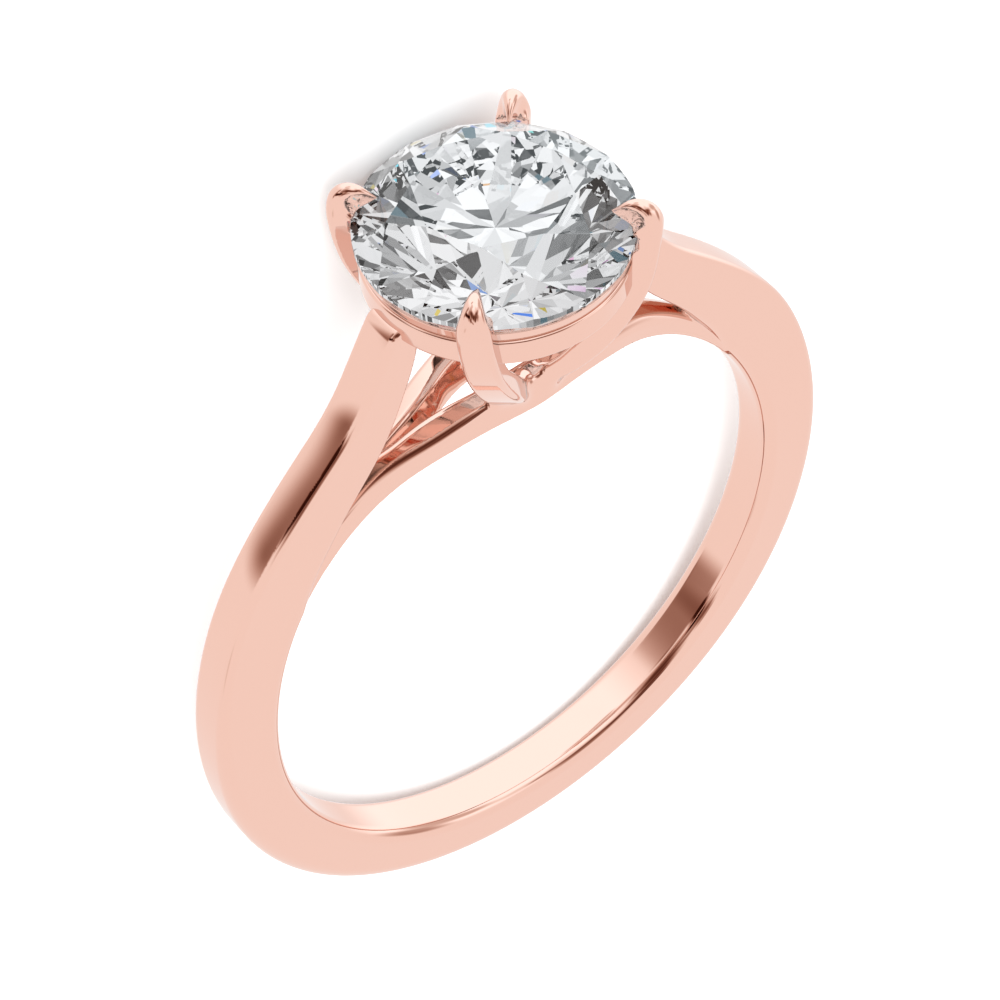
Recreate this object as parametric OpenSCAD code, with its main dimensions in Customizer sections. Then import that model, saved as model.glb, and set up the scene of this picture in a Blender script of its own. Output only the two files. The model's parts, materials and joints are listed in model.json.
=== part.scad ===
// Solitaire engagement ring: a cathedral mount with four claws, and one round brilliant.
// It is modelled upright, with X across the finger, Y up through the stone and Z along the
// finger, and then laid on its side with the gallery rail and the band's edge on the floor.

/* [Finger and band] */
// Inner diameter of the band, a ring size 6
finger_d = 16.5; // [16.2:0.1:16.9]
// Radial thickness of the band at its base
band_t = 1.65; // [1.5:0.05:1.9]
// Width of the band along the finger, round its lower half
band_w = 1.57; // [1.45:0.01:1.75]
// Width of the two arms that climb to the head
arm_w = 1.2; // [1.1:0.05:1.35]
// Rounding of the band's outer edges at its base
outer_round = 0.5; // [0.3:0.05:0.55]
// Rounding of the arms' outer edges
arm_round = 0.16; // [0.1:0.02:0.3]
// Rounding of the inner edges, for comfort
inner_round = 0.35; // [0.2:0.05:0.4]

/* [Stone] */
// Girdle diameter of the round brilliant
stone_d = 6.91; // [6.8:0.01:7]
// Height of the top of the girdle above the finger's axis
stone_y = 13.59; // [13.5:0.01:13.7]
// Height of the girdle's own rim
girdle_t = 0.25; // [0.15:0.01:0.3]
// Width of the table across its corners, as a share of the girdle
table_share = 0.57; // [0.53:0.01:0.6]
// Slope of the crown's main facets
crown_slope = 34.5; // [33:0.5:36]
// Slope of the pavilion's main facets
pavilion_slope = 40.75; // [40:0.25:41.5]
// Length of the star facets, as a share of the way from the table to the girdle
star_share = 0.5; // [0.45:0.01:0.6]
// Length of the lower half facets, as a share of the way from the girdle to the point
lower_share = 0.77; // [0.7:0.01:0.85]

/* [Setting] */
// Width of a claw
claw_w = 0.86; // [0.76:0.02:0.96]
// Outer radius of the gallery rail below the stone
rail_r = 3.38; // [3.35:0.01:3.42]
// Thickness of the rail between its outer and inner wall
rail_t = 0.45; // [0.4:0.01:0.5]
// Height of the rail's lower edge above the finger's axis
rail_y = 12.08; // [12:0.01:12.2]
// Height of the rail itself
rail_h = 0.77; // [0.6:0.01:0.8]
// Radial thickness of the bridge that crosses over the finger
bridge_t = 0.52; // [0.45:0.01:0.6]
// Rounding of the bridge's upper edges
bridge_round = 0.18; // [0.1:0.02:0.24]
// Half length of the slot through the bridge, across the finger
slot_l = 3.3; // [3:0.1:3.4]
// Half width of the slot at its middle, along the finger
slot_w = 0.56; // [0.44:0.04:0.6]
// Gap left between the stone and the metal
gap = 0.04; // [0.03:0.01:0.06]

/* [Hidden] */

// points on each rounded corner, and faces round a turned form
corner_n = 3;
$fn = 96;
// steps between two table rows
band_steps = 3;
bridge_steps = 3;
claw_steps = 2;
// faces of the stone's girdle under each of the 16 half facets
girdle_n = 4;

finger_r = finger_d / 2;
stone_r = stone_d / 2;
// how much wider the ring is than the size that the tables below are written for
fit = finger_d / 16.5;
// how far the band and bridge reach into the finger hole, which then cuts them back,
// and how far their inner rounding stays outside it, so the cut goes through straight walls
foot = 0.12;
land = 0.03;

// The band from its base up to where the arms leave the finger hole.
// Columns: angle from the +X side, thickness as a share of band_t,
// and how far its width and outer rounding have come from the arms' to the base's
BAND = [
    [-90, 1.00, 1.00, 1.00],
    [-70, 1.03, 1.00, 1.00],
    [-50, 1.06, 1.00, 1.00],
    [-30, 1.09, 1.00, 0.95],
    [-12, 1.11, 0.95, 0.85],
    [4, 1.14, 0.75, 0.60],
    [18, 1.21, 0.35, 0.25],
    [30, 1.30, 0.05, 0.05],
];

// The arm, from the finger hole up past its flat top beside the rail.
// Columns: outer x, outer y, inner x, inner y,
// and how far its inner edges have come from their own rounding to the band's
ARM = [
    [8.10, 6.65, 6.42, 5.56, 1.00],
    [7.45, 7.45, 5.95, 6.38, 0.70],
    [6.71, 8.28, 5.45, 7.18, 0.30],
    [5.94, 8.98, 4.83, 7.97, 0.00],
    [5.12, 9.88, 4.08, 8.94, 0.00],
    [4.62, 10.56, 3.66, 9.68, 0.00],
    [4.15, 11.25, 3.24, 10.58, 0.00],
    [3.80, 11.86, 2.95, 11.33, 0.00],
    [3.56, 12.28, 2.74, 12.28, 0.00],
    [3.36, 12.75, 2.65, 12.75, 0.00],
];
// height of the arms' flat tops above the finger's axis
arm_top = 12.45;

// A claw, from its foot on the bridge up to the point on the stone's crown.
// Columns: outer radius, outer height, inner radius, inner height, width as a share of claw_w,
// and bearing from the X axis, which turns the feet toward the middle of the bridge
CLAW = [
    [1.36, 8.62, 0.84, 8.72, 0.80, 60],
    [1.70, 8.94, 1.18, 9.14, 0.92, 58.5],
    [2.13, 9.30, 1.59, 9.54, 0.98, 56],
    [2.56, 9.72, 1.94, 9.95, 1.00, 53],
    [2.92, 10.15, 2.27, 10.37, 1.00, 51],
    [3.28, 10.70, 2.63, 10.86, 1.00, 48.5],
    [3.59, 11.31, 2.99, 11.39, 1.00, 46.5],
    [3.86, 12.05, 3.22, 12.08, 1.00, 45.3],
    [3.98, 12.75, 3.28, 12.75, 1.00, 45],
    [4.04, 13.40, 3.32, 13.40, 1.00, 45],
    [4.04, 13.85, 3.35, 13.62, 0.98, 45],
    [3.92, 14.22, 3.31, 13.68, 0.84, 45],
    [3.66, 14.42, 3.22, 13.74, 0.62, 45],
    [3.34, 14.38, 3.08, 13.83, 0.38, 45],
    [3.06, 14.25, 2.95, 13.92, 0.20, 45],
    [2.82, 14.12, 2.81, 14.02, 0.10, 45],
];
// rounding of the claws' outer edges
claw_round = 0.16;
// small rounding of all other edges
soft = 0.1;

// sizes of the brilliant, measured from its girdle; the half facets end in shallow scallops there
table_r = stone_r * table_share;
crown_h = (stone_r - table_r) * tan(crown_slope);
pavilion_h = stone_r * tan(pavilion_slope);
girdle_y = stone_y - girdle_t;
table_in = table_r * cos(22.5);
star_r = table_in + (stone_r - table_in) * star_share;
star_h = (stone_r - star_r * cos(22.5)) * tan(crown_slope);
lower_r = stone_r * (1 - lower_share);
lower_h = (stone_r - lower_r * cos(22.5)) * tan(pavilion_slope);

// The bridge over the finger, whose ends run into the arms.
// Columns: angle from the Y axis, half width along the finger, thickness as a share of bridge_t
BRIDGE = [
    [0, 1.44, 1.70],
    [8.6, 1.28, 1.50],
    [17.5, 1.01, 1.12],
    [26.7, 0.68, 1.00],
    [36.9, 0.48, 1.00],
    [48.6, 0.40, 1.00],
    [58, 0.36, 1.00],
];

// One end of the slot in the bridge, as shares of its half length and half width.
SLOT = [[0, 1], [0.29, 0.97], [0.45, 0.84], [0.57, 0.61], [0.7, 0.39], [1, 0]];

// how the ring lies: the rail's lower edge and the band's rounded edge share the floor
rest_y = rail_y + soft;
edge_y = finger_r + band_t - outer_round;
edge_z = band_w / 2 - outer_round;
lean = atan2(rail_r - edge_z, rest_y + edge_y)
    - asin(outer_round / norm([rail_r - edge_z, rest_y + edge_y]));
floor_z = rest_y * sin(lean) - rail_r * cos(lean);
head_reach = (stone_y + crown_h) * cos(lean) + table_r * sin(lean);
base_reach = edge_y * cos(lean) + edge_z * sin(lean) + outer_round;

// a smooth curve through four neighbouring rows, and through all rows of a table
function between(a, b, c, d, t) = b + 0.5 * t * ((c - a) + t * ((2 * a - 5 * b + 4 * c - d)
    + t * (3 * (b - c) + d - a)));
function smooth(rows, steps) = [
    for (i = [0:len(rows) - 2], k = [0:steps - 1])
        between(rows[max(i - 1, 0)], rows[i], rows[i + 1], rows[min(i + 2, len(rows) - 1)], k / steps),
    rows[len(rows) - 1],
];

// One section of a rib as points in space.
// Row: outer a, outer b, inner a, inner b, half width, outer rounding, inner rounding,
// height of the straight walls below the inner rounding, bearing
function section(row) =
    let (
        inner = [row[2], row[3]],
        rise = [row[0], row[1]] - inner,
        h = norm(rise),
        up = rise / h,
        w = row[4],
        r_out = min(row[5], w * 0.9, h * 0.45),
        r_in = min(row[6], w * 0.9, h * 0.45),
        step = row[7],
        corners = [
            [h - r_out, w - r_out, r_out],
            [step + r_in, w - r_in, r_in],
            [step + r_in, r_in - w, r_in],
            [h - r_out, r_out - w, r_out],
        ],
        rounded = [
            for (q = [0:3]) each [
                if (step > 0 && q == 2) each [[0, w - r_in], [0, r_in - w]],
                for (k = [0:corner_n])
                    let (turn = 90 * (q + k / corner_n))
                    [corners[q][0] + corners[q][2] * cos(turn), corners[q][1] + corners[q][2] * sin(turn)]
            ]
        ]
    )
    [
        for (p = rounded)
            let (at = inner + up * p[0])
            [
                at[0] * cos(row[8]) - p[1] * sin(row[8]),
                at[1],
                at[0] * sin(row[8]) + p[1] * cos(row[8]),
            ]
    ];

// a closed solid through the sections of all rows
module rib(rows) {
    rings = [for (r = rows) section(r)];
    n = len(rings[0]);
    last = (len(rings) - 1) * n;
    polyhedron(
        points = [for (r = rings) each r],
        faces = [
            [for (j = [n - 1:-1:0]) j],
            for (i = [0:len(rings) - 2], j = [0:n - 1])
                let (a = i * n + j, b = i * n + (j + 1) % n)
                [a, b, b + n, a + n],
            [for (j = [0:n - 1]) last + j],
        ],
        convexity = 6
    );
}

// rows of the band from its base up one arm, with side -1 or 1 across the finger
function half_band(side) = [
    for (b = BAND)
        let (out = finger_r + band_t * b[1], low = finger_r - foot)
        [
            side * out * cos(b[0]), out * sin(b[0]), side * low * cos(b[0]), low * sin(b[0]),
            (arm_w + (band_w - arm_w) * b[2]) / 2,
            arm_round + (outer_round - arm_round) * b[3],
            inner_round, foot + land, 0,
        ],
    for (a = ARM) [
        side * a[0] * fit, a[1] * fit, side * a[2] * fit, a[3] * fit,
        arm_w / 2, arm_round, arm_round + (inner_round - arm_round) * a[4],
        land + foot * a[4], 0,
    ],
];

module band() {
    left = half_band(-1);
    difference() {
        rib(smooth([for (i = [len(left) - 1:-1:1]) left[i], each half_band(1)], band_steps));
        translate([-finger_r, arm_top * fit, -band_w]) cube([finger_d, finger_r, 2 * band_w]);
    }
}

module claw(quarter) {
    rotate([0, quarter > 1 ? 180 : 0, 0]) mirror([quarter % 2, 0, 0])
        rib([for (r = smooth(CLAW, claw_steps)) [
            r[0], r[1] * fit, r[2], r[3] * fit, r[4] * claw_w / 2, claw_round, soft, 0, r[5],
        ]]);
}

module bridge() {
    low = finger_r - foot;
    last = len(BRIDGE) - 1;
    rows = smooth([
        for (i = [last:-1:-last])
            let (p = BRIDGE[abs(i)])
            [sign(i) * p[0], p[1], finger_r + bridge_t * p[2]]
    ], bridge_steps);
    end = [for (p = SLOT) [p[0] * slot_l, p[1] * slot_w]];
    difference() {
        rib([for (p = rows) [
            p[2] * sin(p[0]), p[2] * cos(p[0]), low * sin(p[0]), low * cos(p[0]),
            p[1], bridge_round, soft / 2, foot + land, 0,
        ]]);
        for (side = [0, 1]) mirror([side, 0, 0])
            rotate([-90, 0, 0]) linear_extrude(finger_r + 2 * bridge_t)
            polygon([each end, for (i = [len(end) - 2:-1:0]) [end[i][0], -end[i][1]]]);
    }
}

// the gallery rail, with the sloping rim above it that carries the girdle
module rail() {
    top = rail_y + rail_h;
    turned([
        [rail_r - rail_t, rail_y + soft],
        [rail_r - rail_t + soft, rail_y],
        [rail_r - soft, rail_y],
        [rail_r, rail_y + soft],
        [rail_r, top - soft],
        [rail_r - soft, top],
        [rail_r - 2 * soft, top],
        [stone_r - soft, girdle_y - gap / 2],
        [rail_r - rail_t, girdle_y - gap / 2],
    ]);
}

// turns a profile of radius and height about the stone's axis
module turned(profile) {
    rotate([-90, 0, 0]) rotate_extrude() polygon(profile);
}

// the space that the stone takes in the metal, with the gap round it
module seat() {
    room = stone_r + gap;
    drop = gap / cos(pavilion_slope) + gap;
    rise = (room - table_r) * tan(crown_slope) + 2 * gap;
    turned([
        [0, girdle_y - pavilion_h - drop],
        [room, girdle_y - drop + gap * tan(pavilion_slope)],
        [room, stone_y + gap],
        [table_r, stone_y + rise],
        [0, stone_y + rise],
    ]);
}

// lays the upright ring on its side, with the middle of its footprint at the origin
module lying() {
    translate([0, (base_reach - head_reach) / 2, -floor_z]) rotate([lean, 0, 0]) children();
}

module ring_mount() {
    color([0.96, 0.78, 0.70]) lying() difference() {
        union() {
            band();
            bridge();
            rail();
            for (quarter = [0:3]) claw(quarter);
        }
        cylinder(r = finger_r, h = finger_d, center = true);
        seat();
    }
}

// a point at a radius and bearing about the stone's axis
function around(r, bearing, y) = [r * cos(bearing), y, r * sin(bearing)];

module round_stone() {
    rim_n = 16 * girdle_n;
    upper_tan = star_h / ((stone_r - star_r) * cos(11.25));
    lower_tan = lower_h / ((stone_r - lower_r) * cos(11.25));
    // bearing of each rim point, and how far it lies outside its half facet's straight edge
    rim = [for (i = [0:rim_n - 1])
        let (off = (i % girdle_n) * 360 / rim_n - 11.25)
        [i * 360 / rim_n, stone_r * (cos(off) - cos(11.25))]];
    points = [
        for (k = [0:7]) around(table_r, 45 * k, stone_y + crown_h),
        for (k = [0:7]) around(star_r, 45 * k + 22.5, stone_y + star_h),
        for (p = rim) around(stone_r, p[0], stone_y - p[1] * upper_tan),
        for (p = rim) around(stone_r, p[0], girdle_y + p[1] * lower_tan),
        for (k = [0:7]) around(lower_r, 45 * k + 22.5, girdle_y - lower_h),
        [0, girdle_y - pavilion_h, 0],
    ];
    star = 8;
    top = star + 8;
    base = top + rim_n;
    low = base + rim_n;
    tip = low + 8;
    faces = [
        [for (k = [0:7]) k],
        for (k = [0:7]) [k, star + k, (k + 1) % 8],
        for (k = [0:7]) [k, star + (k + 7) % 8, top + 2 * k * girdle_n, star + k],
        for (h = [0:15]) [star + floor(h / 2), for (i = [0:girdle_n]) top + (h * girdle_n + i) % rim_n],
        for (i = [0:rim_n - 1]) [top + i, base + i, base + (i + 1) % rim_n, top + (i + 1) % rim_n],
        for (h = [0:15]) [low + floor(h / 2), for (i = [girdle_n:-1:0]) base + (h * girdle_n + i) % rim_n],
        for (k = [0:7]) [tip, low + k, base + 2 * k * girdle_n, low + (k + 7) % 8],
    ];
    color([0.92, 0.95, 0.98]) lying() polyhedron(points, faces);
}

ring_mount();
round_stone();
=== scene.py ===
import json
import math

import bpy
import numpy as np
from mathutils import Matrix, Vector


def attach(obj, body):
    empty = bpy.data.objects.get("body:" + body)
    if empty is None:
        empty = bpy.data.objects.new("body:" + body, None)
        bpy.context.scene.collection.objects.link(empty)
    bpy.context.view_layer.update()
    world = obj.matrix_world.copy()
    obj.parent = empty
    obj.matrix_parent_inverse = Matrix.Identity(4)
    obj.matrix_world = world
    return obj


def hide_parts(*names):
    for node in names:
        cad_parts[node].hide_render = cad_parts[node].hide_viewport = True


# A solitaire ring lying on its side. The metal is one smooth surface, found where a signed
# distance made of the band, bridge, rail and claws is zero. Its sizes are in millimetres, in the
# upright ring: X across the finger, Y up through the stone and Z along the finger.

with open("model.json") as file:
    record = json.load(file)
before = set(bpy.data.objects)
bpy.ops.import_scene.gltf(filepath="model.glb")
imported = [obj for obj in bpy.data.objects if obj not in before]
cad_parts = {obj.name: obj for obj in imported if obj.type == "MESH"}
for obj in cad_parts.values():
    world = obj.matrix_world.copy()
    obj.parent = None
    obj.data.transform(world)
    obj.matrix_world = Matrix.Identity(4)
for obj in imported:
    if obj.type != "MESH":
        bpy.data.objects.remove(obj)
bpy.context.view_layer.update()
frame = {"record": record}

MM = 0.001
hole = next(m for m in frame["record"]["mounts"] if m["name"] == "finger_hole")
FINGER_R = hole["dims"]["r_mm"]
LEAN = math.atan2(-hole["axis"][1], hole["axis"][2])
LAID = (
    Matrix.Translation(hole["pos_m"])
    @ Matrix.Rotation(LEAN, 4, "X")
    @ Matrix.Scale(MM, 4)
)

# Band, from its base round to the top of an arm.
# Columns: angle from the X axis, outer radius
BAND_OUT = [
    (-90, 9.90), (-45, 10.02), (0, 10.117), (20, 10.266), (32, 10.416), (44, 10.529),
    (56, 10.774), (66, 11.456), (74, 12.812),
]
# Columns: angle from the X axis, inner radius where the arm has left the finger hole
ARM_IN = [
    (30, 8.13), (40.9, 8.49), (47, 8.72), (52.8, 9.01), (58.8, 9.32), (65.5, 9.83),
    (69.3, 10.35), (73.0, 11.07), (75.4, 11.71), (77.6, 12.59),
]
# Columns: angle from the X axis, half width, rounding of the outer and of the inner edges
BAND_SIDE = [
    (-90, 0.785, 0.50, 0.36), (-50, 0.785, 0.50, 0.36), (-30, 0.785, 0.48, 0.36),
    (-12, 0.775, 0.45, 0.36), (4, 0.74, 0.36, 0.36), (18, 0.665, 0.24, 0.36),
    (30, 0.61, 0.18, 0.36), (42, 0.60, 0.16, 0.33), (52, 0.60, 0.16, 0.16),
    (62, 0.60, 0.16, 0.10), (80, 0.60, 0.16, 0.10),
]
ARM_TOP = 12.45
ARM_TOP_ROUND = 0.28

# Bridge over the finger.
# Columns: angle from the Y axis, half width at the finger hole, thickness at the edges and in
# the middle
BRIDGE = [
    (0, 1.50, 0.92, 0.97), (8.6, 1.34, 0.80, 0.92), (17.5, 1.07, 0.58, 0.82),
    (26.7, 0.74, 0.52, 0.80), (36.9, 0.53, 0.52, 0.66), (48.6, 0.44, 0.52, 0.58),
    (58, 0.40, 0.52, 0.55),
]
BRIDGE_SLANT = 0.16
BRIDGE_ROUND = 0.2
# Slot that parts the bridge in two strands. Columns: distance from the middle, half width at
# the top
SLOT = [
    (0, 0.70), (0.5, 0.69), (0.95, 0.65), (1.45, 0.56), (1.87, 0.43), (2.32, 0.31), (3.07, 0.18),
    (3.65, 0.12), (4.15, 0.0),
]
SLOT_FLARE = 0.42
SLOT_ROUND = 0.16

# Stone: radius, height of the girdle's upper edge and its depth, the facets' slopes and shares,
# and its clearance in the seat.
STONE_R = 3.455
STONE_Y = 13.59
GIRDLE_T = 0.25
TABLE_SHARE = 0.57
CROWN_SLOPE = math.radians(34.5)
PAVILION_SLOPE = math.radians(40.75)
STAR_SHARE = 0.5
LOWER_SHARE = 0.77
GIRDLE_STEPS = 8
GAP = 0.04

# Gallery rail with the lip that carries the girdle, turned round the Y axis.
# Columns: radius, height, rounding of the corner
RAIL = [
    (2.93, 12.08, 0.08), (3.38, 12.08, 0.12), (3.38, 12.84, 0.10), (3.25, 12.84, 0.03),
    (3.25, 12.89, 0.03), (3.34, 12.91, 0.04), (3.42, 13.21, 0.03), (3.345, 13.21, 0.02),
    (2.93, 12.83, 0.03),
]
RAIL_TURNS = 256
RAIL_ARC = 5

# Claw, from its foot on the bridge to its point.
# Columns: outer radius, outer height, inner radius, inner height, half width, bearing, rounding
CLAW = [
    (1.36, 8.62, 0.84, 8.72, 0.34, 60, 0.15),
    (1.66, 8.94, 1.14, 9.14, 0.39, 59.5, 0.15),
    (2.04, 9.30, 1.50, 9.54, 0.42, 57.5, 0.15),
    (2.42, 9.72, 1.81, 9.95, 0.44, 55, 0.15),
    (2.76, 10.15, 2.13, 10.37, 0.45, 53.2, 0.15),
    (3.12, 10.70, 2.49, 10.86, 0.46, 50.8, 0.15),
    (3.45, 11.31, 2.86, 11.39, 0.46, 48.7, 0.15),
    (3.76, 12.05, 3.13, 12.08, 0.45, 47, 0.15),
    (3.93, 12.75, 3.24, 12.75, 0.44, 46, 0.16),
    (4.02, 13.40, 3.31, 13.40, 0.43, 45.3, 0.20),
    (4.04, 13.85, 3.35, 13.62, 0.405, 45, 0.30),
    (3.92, 14.22, 3.31, 13.68, 0.33, 45, 0.31),
    (3.66, 14.42, 3.22, 13.74, 0.225, 45, 0.22),
    (3.34, 14.38, 3.08, 13.83, 0.135, 45, 0.13),
    (3.06, 14.25, 2.95, 13.92, 0.075, 45, 0.07),
    (2.82, 14.12, 2.81, 14.02, 0.035, 45, 0.03),
]
# Rounding of the edges that have no rounding of their own
SOFT = 0.1
# How far the band's outer face falls from its middle to its edges
DOME = 0.02


class Curve:
    """A smooth curve through a table's rows, every column against the first."""

    def __init__(self, rows, mirrored=False):
        rows = np.array(rows, float)
        if mirrored:
            before = rows[:0:-1].copy()
            before[:, 0] = 2 * rows[0, 0] - before[:, 0]
            rows = np.vstack([before, rows])
        self.x, self.y = rows[:, 0], rows[:, 1:]
        count, gap = len(self.x), np.diff(self.x)
        left = np.eye(count)
        right = np.zeros((count, self.y.shape[1]))
        for i in range(1, count - 1):
            left[i, i - 1 : i + 2] = gap[i - 1], 2 * (gap[i - 1] + gap[i]), gap[i]
            slopes = (self.y[i + 1] - self.y[i]) / gap[i] - (self.y[i] - self.y[i - 1]) / gap[i - 1]
            right[i] = 6 * slopes
        self.bend = np.linalg.solve(left, right)

    def at(self, x):
        """Values, slopes and bends at x, one column each. It goes straight on past its ends."""
        inside = np.clip(x, self.x[0], self.x[-1])
        i = np.clip(np.searchsorted(self.x, inside) - 1, 0, len(self.x) - 2)
        gap = (self.x[i + 1] - self.x[i])[:, None]
        a = self.x[i + 1][:, None] - inside[:, None]
        b = inside[:, None] - self.x[i][:, None]
        lo, hi, ylo, yhi = self.bend[i], self.bend[i + 1], self.y[i], self.y[i + 1]
        value = (lo * a**3 + hi * b**3) / (6 * gap)
        value += (ylo / gap - lo * gap / 6) * a + (yhi / gap - hi * gap / 6) * b
        slope = (hi * b**2 - lo * a**2) / (2 * gap) + (yhi - ylo) / gap - (hi - lo) * gap / 6
        bend = (lo * a + hi * b) / gap
        value += slope * (x - inside)[:, None]
        return value, slope, bend


band_out = Curve(BAND_OUT, mirrored=True)
arm_in = Curve(ARM_IN)
band_side = Curve(BAND_SIDE, mirrored=True)
bridge_shape = Curve(BRIDGE, mirrored=True)
slot_shape = Curve(SLOT, mirrored=True)


def claw_curve():
    """The claw's centre line, half thickness, half width and bearing against its length."""
    t = np.array(CLAW)
    centre = (t[:, 0:2] + t[:, 2:4]) / 2
    half = np.hypot(*(t[:, 0:2] - t[:, 2:4]).T) / 2
    along = np.r_[0, np.cumsum(np.hypot(*np.diff(centre, axis=0).T))]
    return Curve(np.column_stack([along, centre, half, t[:, 4], np.radians(t[:, 5]), t[:, 6]]))


claw = claw_curve()


def round_max(a, b, r):
    """What two solids share, with its edge rounded to radius r."""
    return np.minimum(np.maximum(a, b), -r) + np.hypot(np.maximum(a + r, 0), np.maximum(b + r, 0))


def round_min(a, b, r):
    """Two solids joined, with a fillet of radius r."""
    return np.maximum(np.minimum(a, b), r) - np.hypot(np.maximum(r - a, 0), np.maximum(r - b, 0))


def radial(r, radius, slope):
    """Distance outward from a curve given as radius against angle in degrees."""
    return (r - radius) / np.hypot(1, np.degrees(slope) / r)


def band_field(x, y, z):
    r = np.hypot(x, y) + 1e-9
    angle = np.degrees(np.arctan2(y, np.abs(x)))
    (outer,), (outer_slope,), _ = (v.T for v in band_out.at(angle))
    (inner,), (inner_slope,), _ = (v.T for v in arm_in.at(angle))
    (width, edge, low), (width_slope, _, _), _ = (v.T for v in band_side.at(angle))
    out = radial(r, outer, outer_slope) + DOME * (z / width) ** 2
    hollow = np.maximum(FINGER_R - r, -radial(r, inner, inner_slope))
    side = (np.abs(z) - width) / np.hypot(1, np.degrees(width_slope) / r)
    top = y - ARM_TOP
    upper = np.where(y > 0, round_max(out, top, ARM_TOP_ROUND), out)
    return np.maximum(round_max(upper, side, edge), round_max(hollow, side, low))


def bridge_field(x, y, z):
    r = np.hypot(x, y) + 1e-9
    angle = np.degrees(np.arctan2(np.abs(x), y))
    (width, low, high), (width_slope, low_slope, _), _ = (v.T for v in bridge_shape.at(angle))
    rise = r - FINGER_R
    hump = (high - low) / width
    thick = low + hump * (width - np.abs(z))
    out = radial(r, FINGER_R + thick, low_slope) / np.hypot(1, hump)
    steep = np.hypot(np.hypot(1, BRIDGE_SLANT), np.degrees(width_slope) / r)
    side = (np.abs(z) - width + BRIDGE_SLANT * rise) / steep
    solid = np.maximum(round_max(out, side, BRIDGE_ROUND), round_max(FINGER_R - r, side, SOFT))
    (opening,), (opening_slope,), _ = (v.T for v in slot_shape.at(np.abs(x)))
    slot = np.abs(z) - opening + SLOT_FLARE * (thick - rise)
    slot = slot / np.hypot(np.hypot(1, SLOT_FLARE), opening_slope)
    solid = round_max(solid, -slot, SLOT_ROUND)
    return np.maximum(solid, (angle - BRIDGE[-1][0]) * math.radians(1) * r)


CLAW_STEPS = np.linspace(claw.x[0], claw.x[-1], 120)
CLAW_LINE = claw.at(CLAW_STEPS)[0][:, :2]


def claw_place(a, y, start=None):
    """Length along the claw nearest to each point of the claw's own plane."""
    if start is None:
        start = np.empty(len(a))
        for i in range(0, len(a), 50000):
            part = slice(i, i + 50000)
            far = (a[part, None] - CLAW_LINE[:, 0]) ** 2 + (y[part, None] - CLAW_LINE[:, 1]) ** 2
            start[part] = CLAW_STEPS[far.argmin(1)]
    s = start
    for _ in range(3):
        value, slope, bend = claw.at(s)
        off = value[:, :2] - np.column_stack([a, y])
        pull = (off * slope[:, :2]).sum(1)
        stiff = (slope[:, :2] ** 2).sum(1) + (off * bend[:, :2]).sum(1)
        s = np.clip(s - np.clip(pull / np.maximum(stiff, 0.3), -0.1, 0.1), claw.x[0], claw.x[-1])
    return s


def claw_field(x, y, z):
    x, z = np.abs(x), np.abs(z)
    s = claw_place(np.hypot(x, z), y)
    bearing = claw.at(s)[0][:, 4]
    a = x * np.cos(bearing) + z * np.sin(bearing)
    across = z * np.cos(bearing) - x * np.sin(bearing)
    s = claw_place(a, y, s)
    value, slope, _ = claw.at(s)
    step = np.hypot(slope[:, 0], slope[:, 1])
    ta, ty = slope[:, 0] / step, slope[:, 1] / step
    da, dy = a - value[:, 0], y - value[:, 1]
    off, beyond = da * ty - dy * ta, da * ta + dy * ty
    thick = np.hypot(1, slope[:, 2])
    outer, inner = (off - value[:, 2]) / thick, (-off - value[:, 2]) / thick
    side = (np.abs(across) - value[:, 3]) / np.hypot(1, slope[:, 3])
    edge = np.minimum(value[:, 5], 0.95 * value[:, 3])
    low = np.minimum(SOFT, 0.8 * value[:, 3])
    solid = np.maximum(round_max(outer, side, edge), round_max(inner, side, low))
    return round_max(solid, np.abs(beyond) - 0.02, 0.02)


def seat_field(x, y, z):
    r = np.hypot(x, z)
    outside = r - STONE_R
    below = STONE_Y - GIRDLE_T - y
    pavilion = outside * math.sin(PAVILION_SLOPE) + below * math.cos(PAVILION_SLOPE)
    crown = outside * math.sin(CROWN_SLOPE) + (y - STONE_Y) * math.cos(CROWN_SLOPE)
    return np.maximum(np.maximum(pavilion, crown), outside) - GAP


# Distance given to points well away from a part, and the fillet of the claws on the bridge
FAR = 5.0
JOIN = 0.3


def nearby(part, mask, points):
    out = np.full(len(points), FAR)
    if mask.any():
        out[mask] = part(*points[mask].T)
    return out


def metal_field(points):
    """Signed distance to the mount without its rail, negative inside the gold."""
    x, y, z = points.T
    r = np.hypot(x, z)
    solid = band_field(x, y, z)
    bridge = nearby(bridge_field, (y > 4) & (np.abs(x) < 8.2), points)
    claws = nearby(claw_field, (y > 7.6) & (r < 4.9), points)
    head = round_min(bridge, claws, JOIN)
    solid = round_min(solid, head, 0.8 * SOFT)
    seat = nearby(seat_field, (y > 9) & (r < 4.2), points)
    return round_max(solid, -seat, SOFT / 2)


def around(r, turn, y):
    return r * math.cos(turn), y, r * math.sin(turn)


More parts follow.
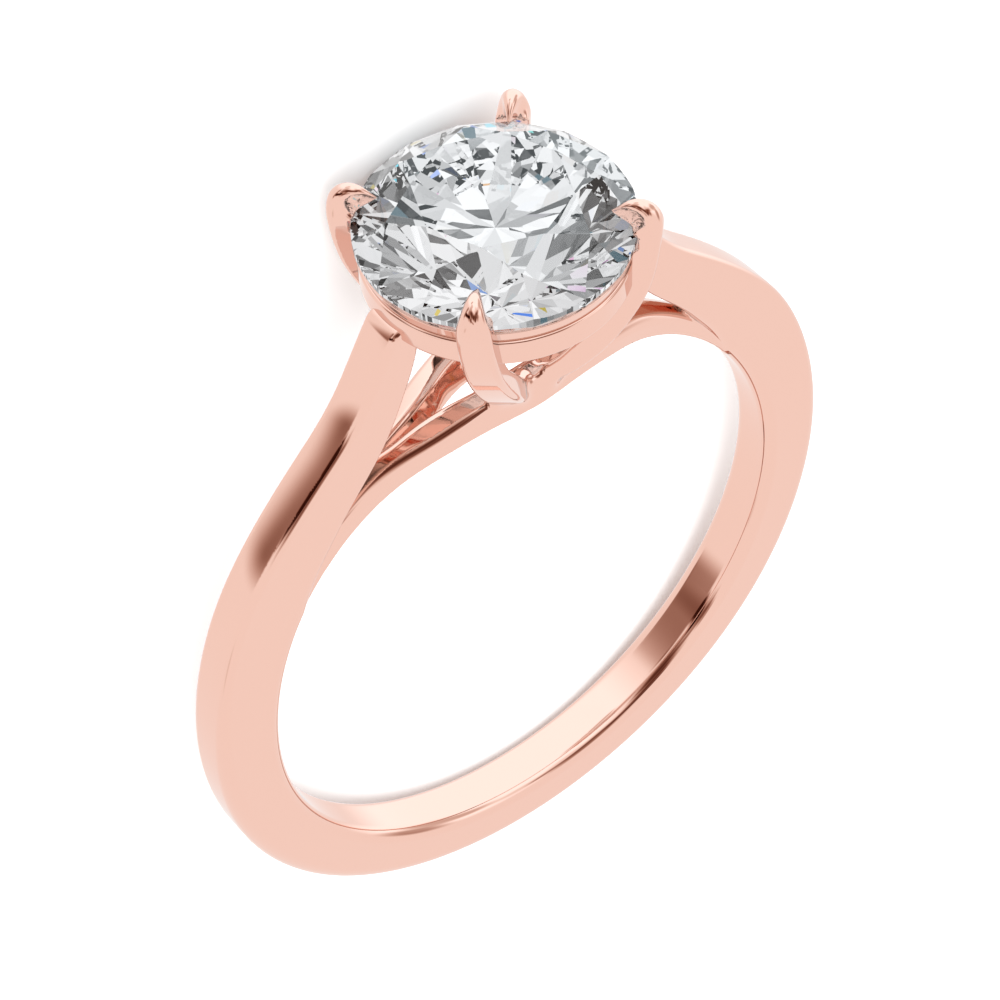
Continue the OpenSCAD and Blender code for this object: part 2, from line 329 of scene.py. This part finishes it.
def rail_shape():
    """Vertices, faces and normals of the rail."""
    spots, facing = [], []
    corners = np.array(RAIL)
    for before, corner, after in zip(np.roll(corners, 1, 0), corners, np.roll(corners, -1, 0)):
        come, go = corner[:2] - before[:2], after[:2] - corner[:2]
        come, go = come / np.hypot(*come), go / np.hypot(*go)
        left = np.array([[come[1], -come[0]], [go[1], -go[0]]])
        bend = math.acos(come @ go)
        side = math.copysign(1, come[0] * go[1] - come[1] * go[0])
        start = corner[:2] - come * corner[2] * math.tan(bend / 2)
        centre = start - left[0] * corner[2] * side
        for i in range(RAIL_ARC + 1):
            share = i / RAIL_ARC
            way = left[0] * math.sin((1 - share) * bend) + left[1] * math.sin(share * bend)
            way = way / np.hypot(*way)
            spots.append(centre + way * corner[2] * side)
            facing.append(way)
    count = len(spots)
    vertices, normals, faces = [], [], []
    for k in range(RAIL_TURNS):
        turn = math.tau * k / RAIL_TURNS
        vertices += [around(r, turn, y) for r, y in spots]
        normals += [around(r, turn, y) for r, y in facing]
        for i in range(count):
            here, there = k * count, (k + 1) % RAIL_TURNS * count
            j = (i + 1) % count
            faces.append((here + i, here + j, there + j, there + i))
    return np.array(vertices), faces, np.array(normals)


def gradient(field, points, reach=0.004):
    total = np.zeros_like(points)
    for sign in ((1, -1, -1), (-1, -1, 1), (-1, 1, -1), (1, 1, 1)):
        sign = np.array(sign, float)
        total += field(points + sign * reach)[:, None] * sign
    return total / (4 * reach)


def settle(field, points, rounds=2):
    """Moves points on to the surface and gives their normals."""
    for _ in range(rounds):
        slope = gradient(field, points)
        size = (slope**2).sum(1)
        move = field(points)[:, None] * slope / np.maximum(size, 0.25)[:, None]
        length = np.linalg.norm(move, axis=1, keepdims=True)
        points = points - move * np.minimum(1, 0.05 / np.maximum(length, 1e-9))
    slope = gradient(field, points)
    return points, slope / np.maximum(np.linalg.norm(slope, axis=1, keepdims=True), 1e-9)


def net(field, low, high, step, block=4):
    """Vertices and quads of the surface where field is zero, one vertex in each cell it crosses."""
    low = np.array(low, float)
    blocks = np.ceil((np.array(high) - low) / (step * block)).astype(int)
    centres = (np.indices(blocks).reshape(3, -1).T + 0.5) * step * block + low
    near = np.abs(field(centres)) < 0.87 * step * block * 1.4
    active = np.indices(blocks).reshape(3, -1).T[near]
    size = blocks * block + 1
    stride = np.array([size[1] * size[2], size[2], 1])
    local = np.indices([block + 1] * 3).reshape(3, -1).T
    corners = np.unique(((active * block) @ stride)[:, None] + local @ stride)
    spots = np.column_stack(np.unravel_index(corners, size)) * step + low
    value = np.full(size.prod(), FAR, np.float32)
    value[corners] = field(spots)
    local = np.indices([block] * 3).reshape(3, -1).T
    cells = np.sort((((active * block) @ stride)[:, None] + local @ stride).ravel())
    offsets = np.indices([2] * 3).reshape(3, -1).T
    inside = np.zeros(len(cells), int)
    for offset in offsets @ stride:
        inside += value[cells + offset] < 0
    cells = cells[(inside > 0) & (inside < 8)]
    total, crossings = np.zeros((len(cells), 3)), np.zeros(len(cells))
    for start in offsets:
        for axis in range(3):
            if start[axis]:
                continue
            a = value[cells + start @ stride]
            b = value[cells + start @ stride + stride[axis]]
            crossed = (a < 0) != (b < 0)
            share = a[crossed] / (a[crossed] - b[crossed])
            spot = np.repeat(start[None].astype(float), crossed.sum(), 0)
            spot[:, axis] += share
            total[crossed] += spot
            crossings[crossed] += 1
    origin = np.column_stack(np.unravel_index(cells, size))
    vertices = (origin + total / crossings[:, None]) * step + low
    index = np.full(size.prod(), -1, np.int32)
    index[cells] = np.arange(len(cells))
    quads = []
    for axis in range(3):
        one, two = stride[(axis + 1) % 3], stride[(axis + 2) % 3]
        a, b = value[cells] < 0, value[cells + stride[axis]] < 0
        for mask, order in ((a & ~b, 1), (b & ~a, -1)):
            here = cells[mask]
            ring = [here, here - one, here - one - two, here - two]
            ring = np.column_stack([index[corner] for corner in ring])
            quads.append(ring[:, ::order][(ring >= 0).all(1)])
    return vertices, np.vstack(quads)


def new_object(name, mesh):
    obj = bpy.data.objects.new(name, mesh)
    bpy.context.scene.collection.objects.link(obj)
    return obj


# Size of the net's cells, and the triangles that the metal without its rail is thinned to
STEP = 0.055
MOST_TRIANGLES = 165000
NET_LOW = (-10.3, -10.1, -4.25)
NET_HIGH = (10.3, 14.7, 4.25)


def metal_mesh():
    """The whole mount as one mesh in the row frame, with the rail as a closed ring set into it."""
    vertices, quads = net(metal_field, NET_LOW, NET_HIGH, STEP)
    mesh = bpy.data.meshes.new("draft")
    mesh.from_pydata(vertices, [], quads.tolist())
    draft = new_object("draft", mesh)
    thin = draft.modifiers.new("thin", "DECIMATE")
    thin.ratio = min(1, MOST_TRIANGLES / (2 * len(quads)))
    thin.use_collapse_triangulate = True
    ready = draft.evaluated_get(bpy.context.evaluated_depsgraph_get()).to_mesh()
    points = np.empty(len(ready.vertices) * 3, np.float32)
    ready.vertices.foreach_get("co", points)
    faces = [tuple(p.vertices) for p in ready.polygons]
    bpy.data.objects.remove(draft)
    bpy.data.meshes.remove(mesh)
    points, normals = settle(metal_field, points.reshape(-1, 3).astype(float))
    rail_points, rail_faces, rail_normals = rail_shape()
    faces += [tuple(i + len(points) for i in face) for face in rail_faces]
    points, normals = np.vstack([points, rail_points]), np.vstack([normals, rail_normals])
    turn = np.array(LAID.to_3x3()) / MM
    mesh = bpy.data.meshes.new("gold_mount")
    mesh.from_pydata(points @ (turn * MM).T + np.array(LAID.translation), [], faces)
    mesh.polygons.foreach_set("use_smooth", np.ones(len(mesh.polygons), bool))
    mesh.update()
    mesh.normals_split_custom_set_from_vertices((normals @ turn.T).tolist())
    return new_object("gold_mount", mesh)


def stone_mesh():
    """The round brilliant, with the same facets as the solid and a finer girdle."""
    eighth, rim = math.tau / 8, 16 * GIRDLE_STEPS
    girdle = STONE_Y - GIRDLE_T
    table_r = STONE_R * TABLE_SHARE
    star_in = table_r * math.cos(eighth / 2)
    star_r = star_in + (STONE_R - star_in) * STAR_SHARE
    star_h = (STONE_R - star_r * math.cos(eighth / 2)) * math.tan(CROWN_SLOPE)
    lower_r = STONE_R * (1 - LOWER_SHARE)
    lower_h = (STONE_R - lower_r * math.cos(eighth / 2)) * math.tan(PAVILION_SLOPE)
    upper_tan = star_h / ((STONE_R - star_r) * math.cos(eighth / 4))
    lower_tan = lower_h / ((STONE_R - lower_r) * math.cos(eighth / 4))
    table_y = STONE_Y + (STONE_R - table_r) * math.tan(CROWN_SLOPE)
    points = [around(table_r, eighth * k, table_y) for k in range(8)]
    points += [around(star_r, eighth * (k + 0.5), STONE_Y + star_h) for k in range(8)]
    bulge = []
    for i in range(rim):
        off = math.tau / rim * (i % GIRDLE_STEPS) - eighth / 4
        bulge.append(STONE_R * (math.cos(off) - math.cos(eighth / 4)))
    points += [around(STONE_R, math.tau / rim * i, STONE_Y - b * upper_tan) for i, b in enumerate(bulge)]
    points += [around(STONE_R, math.tau / rim * i, girdle + b * lower_tan) for i, b in enumerate(bulge)]
    points += [around(lower_r, eighth * (k + 0.5), girdle - lower_h) for k in range(8)]
    points.append((0, girdle - STONE_R * math.tan(PAVILION_SLOPE), 0))
    star, top = 8, 16
    base, low, tip = top + rim, top + 2 * rim, top + 2 * rim + 8
    faces = [list(range(8))]
    for k in range(8):
        last, main = (k + 7) % 8, 2 * k * GIRDLE_STEPS
        faces.append([k, star + k, (k + 1) % 8])
        faces.append([k, star + last, top + main, star + k])
        faces.append([tip, low + k, base + main, low + last])
    for h in range(16):
        run = [(h * GIRDLE_STEPS + i) % rim for i in range(GIRDLE_STEPS + 1)]
        faces.append([star + h // 2] + [top + i for i in run])
        faces.append([low + h // 2] + [base + i for i in reversed(run)])
    for i in range(rim):
        j = (i + 1) % rim
        faces.append([top + i, base + i, base + j, top + j])
    mesh = bpy.data.meshes.new("brilliant")
    mesh.from_pydata([LAID @ Vector(p) for p in points], [], [face[::-1] for face in faces])
    mesh.update()
    return new_object("brilliant", mesh)


def material(name):
    made = bpy.data.materials.new(name)
    made.use_nodes = True
    nodes = made.node_tree.nodes
    return made, made.node_tree, nodes["Principled BSDF"]


def node(tree, kind, inputs=None, **settings):
    """A new node with its settings, and its inputs set to values or linked to other nodes' outputs."""
    made = tree.nodes.new(kind)
    for key, value in settings.items():
        setattr(made, key, value)
    for key, value in (inputs or {}).items():
        if isinstance(value, bpy.types.NodeSocket):
            tree.links.new(value, made.inputs[key])
        else:
            made.inputs[key].default_value = value
    return made


ROSE_GOLD = (0.93, 0.604, 0.503, 1)
POLISH = (0.035, 0.075)


def rose_gold():
    """Polished gold: a mirror whose polish varies a little, with faint handling marks."""
    made, tree, shader = material("rose_gold")
    shader.inputs["Metallic"].default_value = 1
    shader.inputs["Base Color"].default_value = ROSE_GOLD
    place = node(tree, "ShaderNodeTexCoord").outputs["Object"]
    cloud = node(
        tree, "ShaderNodeTexNoise", {"Vector": place, "Scale": 900, "Detail": 3, "Roughness": 0.6}
    )
    haze = node(
        tree, "ShaderNodeMapRange",
        {
            "Value": cloud.outputs["Fac"], "From Min": 0.35, "From Max": 0.7,
            "To Min": POLISH[0], "To Max": POLISH[1],
        },
    )
    tree.links.new(haze.outputs["Result"], shader.inputs["Roughness"])
    grain = node(tree, "ShaderNodeTexNoise", {"Vector": place, "Scale": 7000, "Detail": 2})
    bump = node(
        tree, "ShaderNodeBump", {"Height": grain.outputs["Fac"], "Strength": 0.15, "Distance": 2e-7}
    )
    tree.links.new(bump.outputs["Normal"], shader.inputs["Normal"])
    return made


def diamond():
    """Clear stone that bends light strongly."""
    made, tree, shader = material("diamond")
    shader.inputs["Base Color"].default_value = (1, 1, 1, 1)
    shader.inputs["Roughness"].default_value = 0
    shader.inputs["IOR"].default_value = 2.42
    shader.inputs["Transmission Weight"].default_value = 1
    shader.inputs["Specular Tint"].default_value = (0.3, 0.3, 0.3, 1)
    return made


# Room round the ring: a pale tent with dark gaps between its soft panels.
# Columns: start and end as bearing and height in degrees, half width, blur, darkness
GAPS = [
    (83, 65, 85, 63, 0.102, 0.243, 0.66),
    (61, 49, 134, 51, 0.060, 0.108, 0.51),
    (101, 64, 143, 68, 0.035, 0.053, 0.75),
    (130, 59, 130, 20, 0.065, 0.241, 0.76),
    (159, 33, 125, 31, 0.076, 0.163, 0.58),
    (105, 5, 138, 7, 0.108, 0.203, 0.33),
    (136, 5, 155, 17, 0.088, 0.137, 0.39),
    (77, 32, 199, 3, 0.045, 0.124, 0.15),
    (151, 14, 153, -19, 0.058, 0.100, 0.96),
    (157, 25, 171, 51, 0.031, 0.091, 0.51),
    (131, -19, 163, -30, 0.007, 0.169, 0.70),
    (-3, 32, 2, 26, 0.067, 0.252, 0.54),
    (18, 6, 30, 25, 0.073, 0.249, 0.45),
    (50, 42, 83, 47, 0.084, 0.197, 0.24),
    (85, -7, 99, -14, 0.048, 0.082, 0.40),
]
# The stone gathers light from the whole room, so it has its own share of it, more gaps, and
# small coloured spots for its fire.
STONE_SHARE = 0.80
STONE_GAPS = [
    (116, 38, 116, 40, 0.13, 0.09, 0.98),
    (20, 50, 20, 60, 0.13, 0.11, 0.92),
    (-130, 40, -100, 60, 0.13, 0.11, 0.92),
    (70, 10, 75, 20, 0.09, 0.08, 0.88),
    (170, 20, 175, 50, 0.07, 0.08, 0.88),
    (-60, 20, -40, 40, 0.10, 0.10, 0.80),
    (60, -20, 75, -15, 0.05, 0.06, 0.85),
    (150, -50, 170, -40, 0.06, 0.06, 0.85),
]
CLEAR_LIGHT = (0.975, 0.985, 1.0, 1)
# Columns: bearing, height, half width, colour
FIRE = [
    (40, 20, 0.038, (0.10, 0.35, 1.0)),
    (190, 30, 0.057, (0.20, 0.90, 0.85)),
    (-20, 50, 0.057, (1.0, 0.55, 0.85)),
    (-70, 30, 0.057, (0.30, 0.45, 1.0)),
    (-150, 45, 0.057, (1.0, 0.60, 0.30)),
    (100, -20, 0.057, (0.10, 0.30, 1.0)),
    (160, -10, 0.045, (0.90, 0.40, 0.90)),
    (30, -40, 0.057, (0.20, 0.80, 1.0)),
    (-100, -30, 0.03, (1.0, 0.80, 0.20)),
    (60, 0, 0.038, (0.10, 0.30, 1.0)),
    (140, -30, 0.02, (1.0, 0.80, 0.10)),
    (150, 60, 0.02, (1.0, 0.85, 0.20)),
    (0, 30, 0.04, (0.15, 0.40, 1.0)),
    (130, 15, 0.04, (0.25, 0.75, 1.0)),
    (-40, 10, 0.04, (0.75, 0.45, 1.0)),
]
FIRE_BLUR = 0.04
# The tent's light away from and toward its bright side, that side's bearing and height, and
# the cosines between which the light rises
TENT = (0.97, 1.26)
BRIGHT_SIDE = (50, -8)
TENT_RISE = (0.23, 0.60)
# The plain white that the camera and the floor see
WHITE = 1.6
# How much faster green and blue fade than red in the gaps
FADE = (1, 1.45, 1.65)
# The room light's tone after a second and after a third reflection, so that gold seen in gold
# stays rose. Columns: depth of the path that the tone starts above, tone
TONES = [
    (2.5, (0.88, 0.97, 1.02)),
    (3.5, (0.62, 0.95, 1.10)),
]


def toward(bearing, height):
    a, b = math.radians(bearing), math.radians(height)
    return Vector((math.cos(b) * math.cos(a), math.cos(b) * math.sin(a), math.sin(b)))


def gap_light(tree, ray, gap):
    """How much light one gap lets through toward each direction."""
    start, end = toward(*gap[0:2]), toward(*gap[2:4])
    width, blur, dark = gap[4:]
    span = end - start
    off = node(tree, "ShaderNodeVectorMath", {0: ray, 1: start}, operation="SUBTRACT").outputs[0]
    along = node(
        tree, "ShaderNodeVectorMath", {0: off, 1: span / span.length_squared}, operation="DOT_PRODUCT"
    )
    share = node(tree, "ShaderNodeClamp", {"Value": along.outputs["Value"]}).outputs[0]
    foot = node(tree, "ShaderNodeVectorMath", {0: span, "Scale": share}, operation="SCALE").outputs[0]
    rest = node(tree, "ShaderNodeVectorMath", {0: off, 1: foot}, operation="SUBTRACT").outputs[0]
    far = node(tree, "ShaderNodeVectorMath", {0: rest}, operation="LENGTH").outputs["Value"]
    light = node(
        tree, "ShaderNodeMapRange",
        {"Value": far, "From Min": width, "From Max": width + blur, "To Min": 1 - dark, "To Max": 1.0},
        interpolation_type="SMOOTHSTEP",
    )
    return light.outputs["Result"]


def times(tree, a, b):
    return node(tree, "ShaderNodeMath", {0: a, 1: b}, operation="MULTIPLY").outputs[0]


def studio():
    """The soft room light, and a plain white for what the camera sees of it."""
    world = bpy.data.worlds.new("studio")
    world.use_nodes = True
    bpy.context.scene.world = world
    tree = world.node_tree
    back = tree.nodes["Background"]
    ray = node(tree, "ShaderNodeTexCoord").outputs["Generated"]
    side = node(tree, "ShaderNodeVectorMath", {0: ray, 1: toward(*BRIGHT_SIDE)}, operation="DOT_PRODUCT")
    light = node(
        tree, "ShaderNodeMapRange",
        {
            "Value": side.outputs["Value"], "From Min": TENT_RISE[0], "From Max": TENT_RISE[1],
            "To Min": TENT[0], "To Max": TENT[1],
        },
        interpolation_type="SMOOTHSTEP",
    ).outputs["Result"]
    for gap in GAPS:
        light = times(tree, light, gap_light(tree, ray, gap))
    in_stone = times(tree, light, STONE_SHARE)
    for gap in STONE_GAPS:
        in_stone = times(tree, in_stone, gap_light(tree, ray, gap))
    fire = CLEAR_LIGHT
    for bearing, height, width, spot in FIRE:
        beside = gap_light(tree, ray, (bearing, height, bearing, height + 1, width, FIRE_BLUR, 1))
        fire = node(
            tree, "ShaderNodeMix", {0: beside, 6: (*spot, 1), 7: fire}, data_type="RGBA"
        ).outputs[2]
    channels = [
        node(tree, "ShaderNodeMath", {0: light, 1: power}, operation="POWER").outputs[0]
        for power in FADE
    ]
    colour = node(tree, "ShaderNodeCombineColor", dict(enumerate(channels))).outputs[0]
    rays = node(tree, "ShaderNodeLightPath")
    for depth, tone in TONES:
        later = node(
            tree, "ShaderNodeMath", {0: rays.outputs["Ray Depth"], 1: depth}, operation="GREATER_THAN"
        ).outputs[0]
        even = node(tree, "ShaderNodeVectorMath", {0: tone, "Scale": light}, operation="SCALE").outputs[0]
        colour = node(tree, "ShaderNodeMix", {0: later, 6: colour, 7: even}, data_type="RGBA").outputs[2]
    tree.links.new(colour, back.inputs["Color"])
    clear = node(tree, "ShaderNodeBackground", {"Color": fire, "Strength": in_stone})
    shown = node(
        tree, "ShaderNodeMixShader",
        {0: rays.outputs["Is Transmission Ray"], 1: back.outputs[0], 2: clear.outputs[0]},
    )
    white = node(tree, "ShaderNodeBackground", {"Color": (1, 1, 1, 1), "Strength": WHITE})
    for kind in ("Is Camera Ray", "Is Diffuse Ray"):
        shown = node(
            tree, "ShaderNodeMixShader",
            {0: rays.outputs[kind], 1: shown.outputs[0], 2: white.outputs[0]},
        )
    tree.links.new(shown.outputs[0], tree.nodes["World Output"].inputs["Surface"])


def floor():
    bpy.ops.mesh.primitive_plane_add(size=4)
    made = bpy.context.object
    made.name = "floor"
    pale, _, shader = material("pale_floor")
    shader.inputs["Base Color"].default_value = (0.97, 0.97, 0.97, 1)
    shader.inputs["Roughness"].default_value = 1
    shader.inputs["Specular IOR Level"].default_value = 0
    made.data.materials.append(pale)
    made.visible_glossy = False
    made.visible_transmission = False


def lamp():
    """A broad lamp overhead that whitens the floor and leaves no spot on the gold."""
    light = bpy.data.lights.new("overhead", "SUN")
    light.energy = 1.6
    light.angle = math.radians(60)
    made = new_object("overhead", light)
    made.rotation_euler = (math.radians(-12), math.radians(-18), 0)
    made.visible_glossy = False
    made.visible_transmission = False


# Camera, in the upright ring's own axes and in millimetres.
CAMERA_AT = Vector((-31.803, 68.004, 45.529))
CAMERA_LOOK = Vector((0.36967, -0.75870, -0.53640))
CAMERA_UP = Vector((0.48868, 0.64975, -0.58225))
CAMERA_LENS = 116.781


def camera():
    made = bpy.data.cameras.new("camera")
    made.lens = CAMERA_LENS
    made.sensor_width = 36
    made.clip_start = MM
    obj = new_object("camera", made)
    right = CAMERA_LOOK.cross(CAMERA_UP)
    turn = Matrix((right, CAMERA_UP, -CAMERA_LOOK)).transposed().to_4x4()
    laid = LAID @ Matrix.Scale(1 / MM, 4)
    obj.matrix_world = laid @ Matrix.Translation(CAMERA_AT * MM) @ turn
    bpy.context.scene.camera = obj


def dress(piece, finish, replaced):
    piece.data.materials.append(finish)
    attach(piece, "root")
    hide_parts(replaced)


gold = metal_mesh()
# The stone is lit by the room alone, so it stays as clear as in the photograph.
gold.visible_transmission = False
dress(gold, rose_gold(), "ring_mount")
dress(stone_mesh(), diamond(), "round_stone")
studio()
floor()
lamp()
camera()
bpy.context.scene.view_settings.view_transform = "Standard"
bpy.context.scene.view_settings.look = "None"
# Light turns many times inside the stone before it leaves.
paths = bpy.context.scene.cycles
paths.max_bounces = 20
paths.glossy_bounces = 14
paths.transmission_bounces = 20
